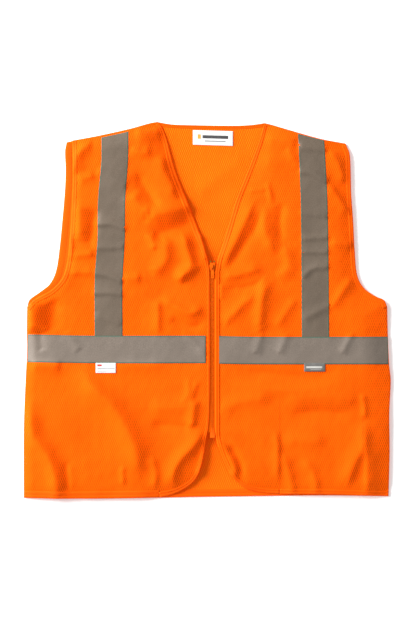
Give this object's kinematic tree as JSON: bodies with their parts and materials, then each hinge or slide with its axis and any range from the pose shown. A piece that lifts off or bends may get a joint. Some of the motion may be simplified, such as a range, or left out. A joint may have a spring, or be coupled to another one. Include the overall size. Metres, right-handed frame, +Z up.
{
  "type": "high visibility vest",
  "caption": "Mesh safety vest with separating zip front, reflective tape over the shoulders and round the waist, bound edges and an inside pocket, lying flat.",
  "frame": {"origin": "middle of the vest's outline, on the surface it lies on", "axes": "+X towards the wearer's left front, +Y from the hem to the neck, +Z up out of the front"},
  "size_m": [0.677, 0.697, 0.0178],
  "materials": {
    "mesh_fabric": "knitted polyester mesh",
    "binding": "knitted tricot binding",
    "reflective_tape": "glass bead reflective coating",
    "zip_tape": "woven polyester tape",
    "zip_coil": "moulded nylon coil",
    "zip_plastic": "moulded",
    "zip_metal": "satin paint",
    "white_label": "woven satin label",
    "grey_label": "woven satin label"
  },
  "bodies": {
    "vest_body": {"back_panel": "mesh_fabric", "right_front_panel": "mesh_fabric", "left_front_panel": "mesh_fabric", "right_side_seam": "mesh_fabric", "left_side_seam": "mesh_fabric", "right_shoulder_seam": "mesh_fabric", "left_shoulder_seam": "mesh_fabric", "back_neck_binding": "binding", "right_armhole_binding": "binding", "left_armhole_binding": "binding", "back_hem_binding": "binding", "right_hem_binding": "binding", "left_hem_binding": "binding", "right_vertical_tape_front": "reflective_tape", "left_vertical_tape_front": "reflective_tape", "right_vertical_tape_back": "reflective_tape", "left_vertical_tape_back": "reflective_tape", "waist_tape_back": "reflective_tape", "right_waist_tape_side": "reflective_tape", "left_waist_tape_side": "reflective_tape", "inner_pocket": "mesh_fabric", "pocket_mouth_binding": "binding"},
    "right_front": {"right_flap_panel": "mesh_fabric", "right_front_edge_binding": "binding", "right_waist_tape_front": "reflective_tape", "right_zip_tape": "zip_tape", "right_zip_coil": "zip_coil", "right_top_stop": "zip_plastic", "insertion_pin": "zip_plastic"},
    "left_front": {"left_flap_panel": "mesh_fabric", "left_front_edge_binding": "binding", "left_waist_tape_front": "reflective_tape", "left_zip_tape": "zip_tape", "left_zip_coil": "zip_coil", "left_top_stop": "zip_plastic", "retainer_pin": "zip_plastic", "retainer_box": "zip_plastic"},
    "slider": {"zip_slider": "zip_metal"},
    "pull_tab": {"zip_pull_tab": "zip_metal"},
    "neck_label": {"neck_brand_label": "white_label"},
    "right_label": {"right_tab_label": "white_label"},
    "left_label": {"left_tab_label": "grey_label"}
  },
  "joints": [
    {"name": "right_front_fold", "type": "hinge", "parent": "vest_body", "child": "right_front", "pos_m": [-0.093, 0, 0.015], "axis": [0, -1, 0], "range_deg": [0, 165], "deforming": ["right_zip_tape", "insertion_pin"]},
    {"name": "left_front_fold", "type": "hinge", "parent": "vest_body", "child": "left_front", "pos_m": [0.104, 0, 0.015], "axis": [0, 1, 0], "range_deg": [0, 165]},
    {"name": "zip_slide", "type": "slide", "parent": "left_front", "child": "slider", "axis": [0, -1, 0], "range_m": [0, 0.2985], "deforming": ["right_zip_coil", "left_zip_coil"]},
    {"name": "pull_tab_swing", "type": "hinge", "parent": "slider", "child": "pull_tab", "pos_m": [0.01, 0.0812, 0.016], "axis": [-1, 0, 0], "range_deg": [0, 160]},
    {"name": "neck_label_flip", "type": "hinge", "parent": "vest_body", "child": "neck_label", "pos_m": [0.011, 0.3337, 0.0026], "axis": [-1, 0, 0], "range_deg": [0, 150]},
    {"name": "right_label_flip", "type": "hinge", "parent": "vest_body", "child": "right_label", "pos_m": [-0.1865, -0.0963, 0.015], "axis": [-1, 0, 0], "range_deg": [0, 150]},
    {"name": "left_label_flip", "type": "hinge", "parent": "vest_body", "child": "left_label", "pos_m": [0.1985, -0.0963, 0.015], "axis": [-1, 0, 0], "range_deg": [0, 150]}
  ]
}
